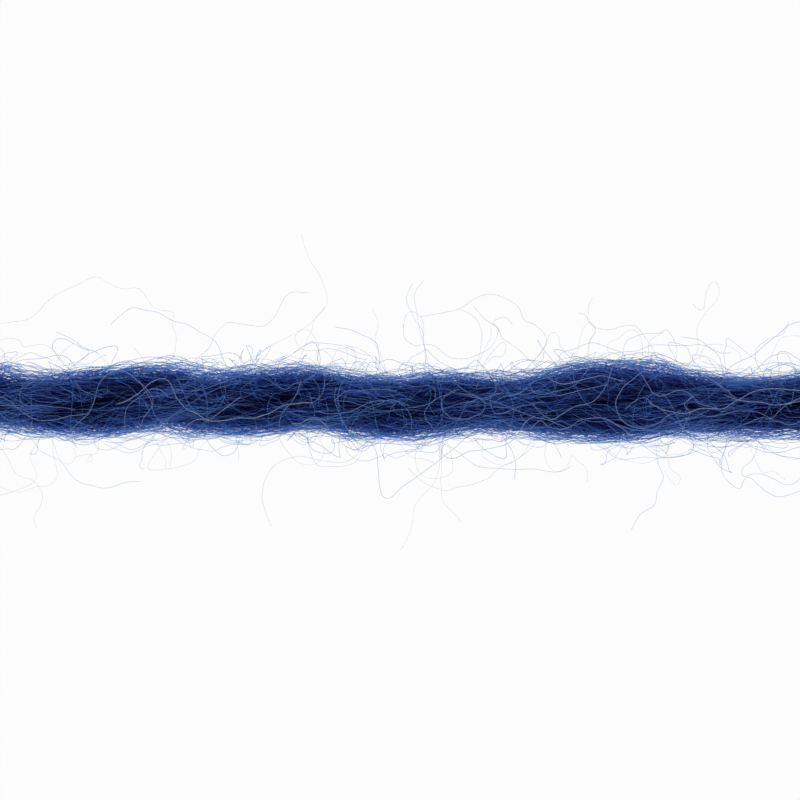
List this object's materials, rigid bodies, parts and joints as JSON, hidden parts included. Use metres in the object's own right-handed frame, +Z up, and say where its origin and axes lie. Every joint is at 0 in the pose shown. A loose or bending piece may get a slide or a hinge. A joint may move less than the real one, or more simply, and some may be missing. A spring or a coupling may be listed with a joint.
{
  "type": "cut length of knitting yarn",
  "caption": "Straight cut length of fuzzy plied woollen knitting yarn, navy blue, a little thick and thin, resting flat on a surface.",
  "frame": {"origin": "on the surface that the yarn rests on, under the middle of the cut length", "axes": "+X along the yarn, +Z up from the surface it rests on; seen from above, the valleys between the singles run from -Y to +Y as they go towards +X"},
  "size_m": [0.04, 0.0031, 0.003],
  "materials": {
    "navy_wool": "matt, fuzzy, woollen-spun, with a soft sheen on single hairs"
  },
  "bodies": {
    "root": {"single_a": "navy_wool", "single_b": "navy_wool", "single_c": "navy_wool"}
  },
  "joints": []
}
